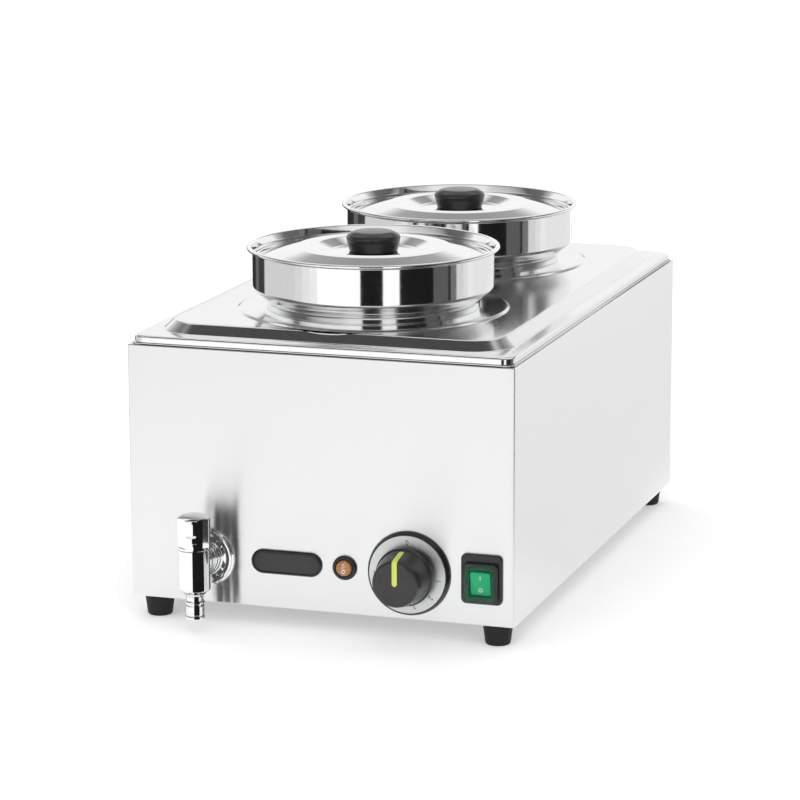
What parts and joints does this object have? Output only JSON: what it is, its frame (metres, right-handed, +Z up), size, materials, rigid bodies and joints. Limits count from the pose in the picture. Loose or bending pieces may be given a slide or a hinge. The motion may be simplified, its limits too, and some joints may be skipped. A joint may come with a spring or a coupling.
{
  "type": "soup kettle",
  "caption": "Rectangular electric wet-well soup warmer with lidded round pots in a pressed top plate, drain tap, thermostat dial, pilot lamp and rocker switch.",
  "frame": {"origin": "on the ground under the middle of the whole object's bounding box, tap and cord gland included", "axes": "+Z up, +Y from the control panel towards the rear, +X to the right seen from the front"},
  "size_m": [0.34, 0.603, 0.3206],
  "materials": {
    "satin_steel": "fine vertical brushed sheet",
    "polished_steel": "mirror-polished stainless steel",
    "zinc_steel": "plain zinc-plated steel",
    "tap_chrome": "bright chrome plating",
    "scale_silver": "satin printed dial ring",
    "aluminium": "mill finish",
    "brass": "plain brass",
    "black_rubber": "matt moulded",
    "black_plastic": "satin moulded",
    "knob_plastic": "satin bakelite",
    "pointer_yellow": "yellow-green inlay",
    "lamp_amber": "ribbed translucent lens",
    "switch_green": "bright rocker",
    "cover_green": "clear green splash cover",
    "ceramic_white": "glazed",
    "reset_red": "moulded"
  },
  "bodies": {
    "casing": {"front_panel": "satin_steel", "body_wrap": "satin_steel", "base_plate": "zinc_steel", "foot_front_left": "black_rubber", "foot_front_right": "black_rubber", "foot_rear_left": "black_rubber", "foot_rear_right": "black_rubber", "foot_screw_front_left": "zinc_steel", "foot_screw_front_right": "zinc_steel", "foot_screw_rear_left": "zinc_steel", "foot_screw_rear_right": "zinc_steel", "water_tank": "satin_steel", "drain_elbow": "brass", "heating_element": "zinc_steel", "element_clamp_plate": "aluminium", "element_nut_1": "zinc_steel", "element_nut_2": "zinc_steel", "element_nut_3": "zinc_steel", "element_nut_4": "zinc_steel", "tap_body": "tap_chrome", "tap_nozzle": "tap_chrome", "tap_escutcheon": "tap_chrome", "tap_gasket": "black_rubber", "tap_locknut": "brass", "dial_bezel": "black_plastic", "dial_scale_ring": "scale_silver", "thermostat_body": "black_plastic", "thermostat_screw_left": "zinc_steel", "thermostat_screw_right": "zinc_steel", "thermostat_bulb": "brass", "bulb_clip": "zinc_steel", "lamp_body": "black_plastic", "lamp_lens": "lamp_amber", "lamp_nut": "black_plastic", "badge": "black_plastic", "switch_housing": "black_plastic", "switch_cover": "cover_green", "cord_gland": "black_plastic", "gland_locknut": "black_plastic", "cutout_body": "black_plastic", "terminal_block": "ceramic_white"},
    "plate": {"pot_plate": "polished_steel"},
    "pot_front": {"pot_front": "polished_steel"},
    "pot_rear": {"pot_rear": "polished_steel"},
    "lid_front": {"lid_front": "polished_steel", "lid_knob_front": "knob_plastic", "lid_knob_screw_front": "zinc_steel"},
    "lid_rear": {"lid_rear": "polished_steel", "lid_knob_rear": "knob_plastic", "lid_knob_screw_rear": "zinc_steel"},
    "dial": {"thermostat_knob": "knob_plastic", "knob_pointer": "pointer_yellow", "thermostat_shaft": "zinc_steel"},
    "rocker": {"switch_rocker": "switch_green"},
    "tap_valve": {"tap_handle": "tap_chrome", "tap_spindle": "brass"},
    "reset": {"reset_button": "reset_red"}
  },
  "joints": [
    {"name": "plate_lift", "type": "slide", "parent": "casing", "child": "plate", "axis": [0, 0, 1], "range_m": [0, 0.2]},
    {"name": "pot_front_lift", "type": "slide", "parent": "plate", "child": "pot_front", "axis": [0, 0, 1], "range_m": [0, 0.2]},
    {"name": "pot_rear_lift", "type": "slide", "parent": "plate", "child": "pot_rear", "axis": [0, 0, 1], "range_m": [0, 0.2]},
    {"name": "lid_front_lift", "type": "slide", "parent": "pot_front", "child": "lid_front", "axis": [0, 0, 1], "range_m": [0, 0.08]},
    {"name": "lid_rear_lift", "type": "slide", "parent": "pot_rear", "child": "lid_rear", "axis": [0, 0, 1], "range_m": [0, 0.08]},
    {"name": "thermostat_turn", "type": "hinge", "parent": "casing", "child": "dial", "pos_m": [0.0795, -0.26855, 0.059], "axis": [0, 1, 0], "range_deg": [0, 270]},
    {"name": "rocker_tip", "type": "hinge", "parent": "casing", "child": "rocker", "pos_m": [0.1428, -0.25855, 0.0566], "axis": [-1, 0, 0], "range_deg": [0, 16]},
    {"name": "tap_turn", "type": "hinge", "parent": "casing", "child": "tap_valve", "pos_m": [-0.101, -0.28755, 0.079], "axis": [0, 0, 1], "range_deg": [0, 90]},
    {"name": "reset_press", "type": "slide", "parent": "casing", "child": "reset", "axis": [0, -1, 0], "range_m": [0, 0.0015], "stiffness_N_per_m": 400}
  ]
}
